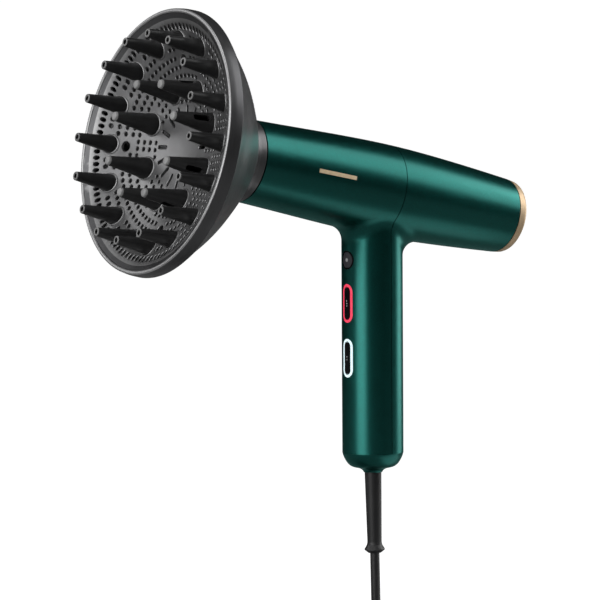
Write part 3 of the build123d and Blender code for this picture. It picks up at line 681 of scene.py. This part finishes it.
# ------------------------------------------------- the diffuser's rim and bowl
rim = rounded([(0.0, 77.8), (0.0, 78.8), (0.5, 79.4), (4.0, 80.05), (8.4, 80.2), (8.6, 80.0), (8.6, 77.6), (5.2, 77.6),
               (5.2, R_DISH), (2.45, R_DISH), (1.0, 76.9), (0.35, 77.2)],
              [0.3, 0.4, 0.4, 1.0, 0.2, 0.1, 0.2, 0.2, 0.2, 0.1, 0.5, 0.3], 5)
bm = bmesh.new()
turned(bm, rim, 240, at_barrel())
rim_piece = new_piece("rim_band", bm, M["rim_plastic"], "diffuser", ("diffuser_rim",), 40)
# the front lip's faces get the lighter grey: a painted highlight along the lip
second(rim_piece, M["rim_lip_highlight"], lambda q, r: q < 0.62 and r > 76.9)

# --------------------------------------------------------- small marks on keys
def decal(name, shapes, mat, body, r=18.95, thick=0.05):
    b = bmesh.new()
    for loop in shapes:                       # loop of (y, z) points in mm on the handle's front
        cy = sum(p[0] for p in loop) / len(loop)
        cz = sum(p[1] for p in loop) / len(loop)
        lo, hi = [], []
        for y, z in loop:
            lo.append(b.verts.new((-math.sqrt((r - 0.02) ** 2 - y * y) / 1000, y / 1000, z / 1000)))
            hi.append(b.verts.new((-math.sqrt((r + thick) ** 2 - y * y) / 1000, y / 1000, z / 1000)))
        b.faces.new(hi)
        b.faces.new(list(reversed(lo)))
        for i in range(len(loop)):
            j = (i + 1) % len(loop)
            b.faces.new((lo[i], lo[j], hi[j], hi[i]))
    return new_piece(name, b, mat, body, (), 40)


def disc(y, z, r, n=20):
    return [(y + r * math.cos(2 * math.pi * k / n), z + r * math.sin(2 * math.pi * k / n)) for k in range(n)]


def pill_loop(z, w, l, n=12):
    h, out = w / 2, []
    for k in range(n + 1):
        a = math.pi * k / n
        out.append((h * math.cos(a), z + l / 2 - h + h * math.sin(a)))
    for k in range(n + 1):
        a = math.pi + math.pi * k / n
        out.append((h * math.cos(a), z - l / 2 + h + h * math.sin(a)))
    return out


def key_frame(name, z, inner, outer, mat, r, thick=0.06):
    """A thin dark line printed round a key, inside its light ring."""
    b = bmesh.new()
    sets = []
    for loop, rr in ((inner, r - 0.02), (outer, r - 0.02), (outer, r + thick), (inner, r + thick)):
        sets.append([b.verts.new((-math.sqrt(rr * rr - y * y) / 1000, y / 1000, zz / 1000)) for y, zz in loop])
    for la, lb in zip(sets, sets[1:] + sets[:1]):
        for i in range(len(la)):
            j = (i + 1) % len(la)
            b.faces.new((la[i], la[j], lb[j], lb[i]))
    return new_piece(name, b, mat, "housing", (), 40)


for name, z in (("heat_frame", Z_HEAT), ("speed_frame", Z_SPEED)):
    key_frame(name, z, pill_loop(z, 5.4, PILL_L - 3.8), pill_loop(z, 6.0, PILL_L - 3.2), M["black_gloss"], R_HANDLE + 0.08)

# the printed key marks are given a faint glow (emission 0.12): painted light that keeps them light under any lamp
M["mark"] = lit("key_mark_painted_glow", (0.45, 0.45, 0.46), 0.12, (0.36, 0.36, 0.37))
decal("cool_mark", [disc(0, Z_COOL, 1.15)], M["mark"], "cool_shot", R_HANDLE + 0.08)
decal("heat_marks", [disc(0, Z_HEAT + dz, 0.42, 14) for dz in (-1.5, 0, 1.5)], M["mark"], "heat_key")
decal("speed_marks", [disc(0, Z_SPEED + dz, 0.36, 14) for dz in (-0.9, 0.9)], M["mark"], "speed_key")

# ------------------------------------------------------------ floor and light
bm = bmesh.new()
FLOOR, N = -0.2152, 24
prof = [(-6.0, FLOOR), (3.0, FLOOR)]
prof += [(3.0 + 2.0 * math.sin(math.pi / 2 * k / N), FLOOR + 2.0 - 2.0 * math.cos(math.pi / 2 * k / N)) for k in range(1, N + 1)]
prof += [(5.0, 6.0)]
flat_fwd = Vector((fwd.x, fwd.y, 0)).normalized()
flat_right = Vector((right.x, right.y, 0)).normalized()
rows = []
for away, z in prof:
    rows.append([bm.verts.new(flat_fwd * away + flat_right * (side * 7.0) + Vector((0, 0, z))) for side in (-1, -0.5, 0, 0.5, 1)])
for a, b in zip(rows, rows[1:]):
    for k in range(4):
        bm.faces.new((a[k], a[k + 1], b[k + 1], b[k]))
me = bpy.data.meshes.new("floor")
bm.to_mesh(me)
bm.free()
for p in me.polygons:
    p.use_smooth = True
floor = bpy.data.objects.new("floor", me)
mat, nt, b = nodes_of("pale_floor")
vec = coords(nt)
nt.links.new(ramp(nt, noise(nt, vec, 3.0, 2.0), (0.22, 0.22, 0.22), (0.25, 0.25, 0.25)), b.inputs["Base Color"])
b.inputs["Roughness"].default_value = 0.9
b.inputs["Specular IOR Level"].default_value = 0.1
glow = nt.nodes.new("ShaderNodeEmission")
glow.inputs["Color"].default_value = (1, 1, 1, 1)
glow.inputs["Strength"].default_value = 1.0
rays = nt.nodes.new("ShaderNodeLightPath")
blend = nt.nodes.new("ShaderNodeMixShader")
both = nt.nodes.new("ShaderNodeAddShader")
nt.links.new(b.outputs[0], both.inputs[0])
nt.links.new(glow.outputs[0], both.inputs[1])
nt.links.new(rays.outputs["Is Camera Ray"], blend.inputs[0])
nt.links.new(b.outputs[0], blend.inputs[1])
nt.links.new(both.outputs[0], blend.inputs[2])
nt.links.new(blend.outputs[0], nt.nodes["Material Output"].inputs["Surface"])
me.materials.append(mat)
scene.collection.objects.link(floor)

world = bpy.data.worlds.new("studio")
scene.world = world
world.use_nodes = True
wn = world.node_tree
bg = wn.nodes["Background"]
bg.inputs["Color"].default_value = (1, 1, 1, 1)
bg.inputs["Strength"].default_value = 1.0
path = wn.nodes.new("ShaderNodeLightPath")
dark = wn.nodes.new("ShaderNodeBackground")
dark.inputs["Color"].default_value = (0.95, 0.98, 1.0, 1)
dark.inputs["Strength"].default_value = 0.03
mixer = wn.nodes.new("ShaderNodeMixShader")
wn.links.new(path.outputs["Is Camera Ray"], mixer.inputs[0])
wn.links.new(dark.outputs[0], mixer.inputs[1])
wn.links.new(bg.outputs[0], mixer.inputs[2])
wn.links.new(mixer.outputs[0], wn.nodes["World Output"].inputs["Surface"])


def softbox(name, toward, far, size, radiance, colour=(1, 1, 1), aim=(0, 0, 0.06), upright=(0, 0, 1)):
    """A soft rectangular light, far metres from the object in the direction toward."""
    li = bpy.data.lights.new(name, "AREA")
    li.shape = "RECTANGLE"
    li.size, li.size_y = size
    li.energy = radiance * math.pi * size[0] * size[1]
    li.color = colour
    ob = bpy.data.objects.new(name, li)
    z = Vector(toward).normalized()
    x = Vector(upright).cross(z).normalized()
    y = z.cross(x)
    mw = Matrix((x, y, z)).transposed().to_4x4()
    mw.translation = Vector(aim) + z * far
    ob.matrix_world = mw
    scene.collection.objects.link(ob)
    return ob


AXIS = Vector((C, 0, -S))
softbox("key", (-0.973, -0.22, 0.10), 1.6, (1.05, 2.0), 4.3)
softbox("overhead", (0.690, -0.400, 0.605), 1.6, (1.15, 1.3), 2.7, upright=AXIS)
softbox("edge", (0.994, -0.105, 0.02), 1.6, (0.78, 2.0), 3.4)
softbox("back_left", (-0.74, 0.56, 0.37), 1.7, (1.0, 0.9), 2.8)
softbox("top", (-0.25, -0.10, 0.96), 1.7, (1.1, 1.1), 2.8, upright=(0, 1, 0))
softbox("fill", (-0.45, -0.72, 0.53), 1.7, (1.3, 0.9), 1.3)
softbox("low", (0.406, -0.289, -0.867), 0.33, (0.16, 0.36), 0.8, aim=(-0.07, 0, 0.08), upright=AXIS)

scene.view_settings.view_transform = "Standard"
scene.view_settings.look = "None"
scene.view_settings.exposure = 0.0
scene.view_settings.gamma = 1.0
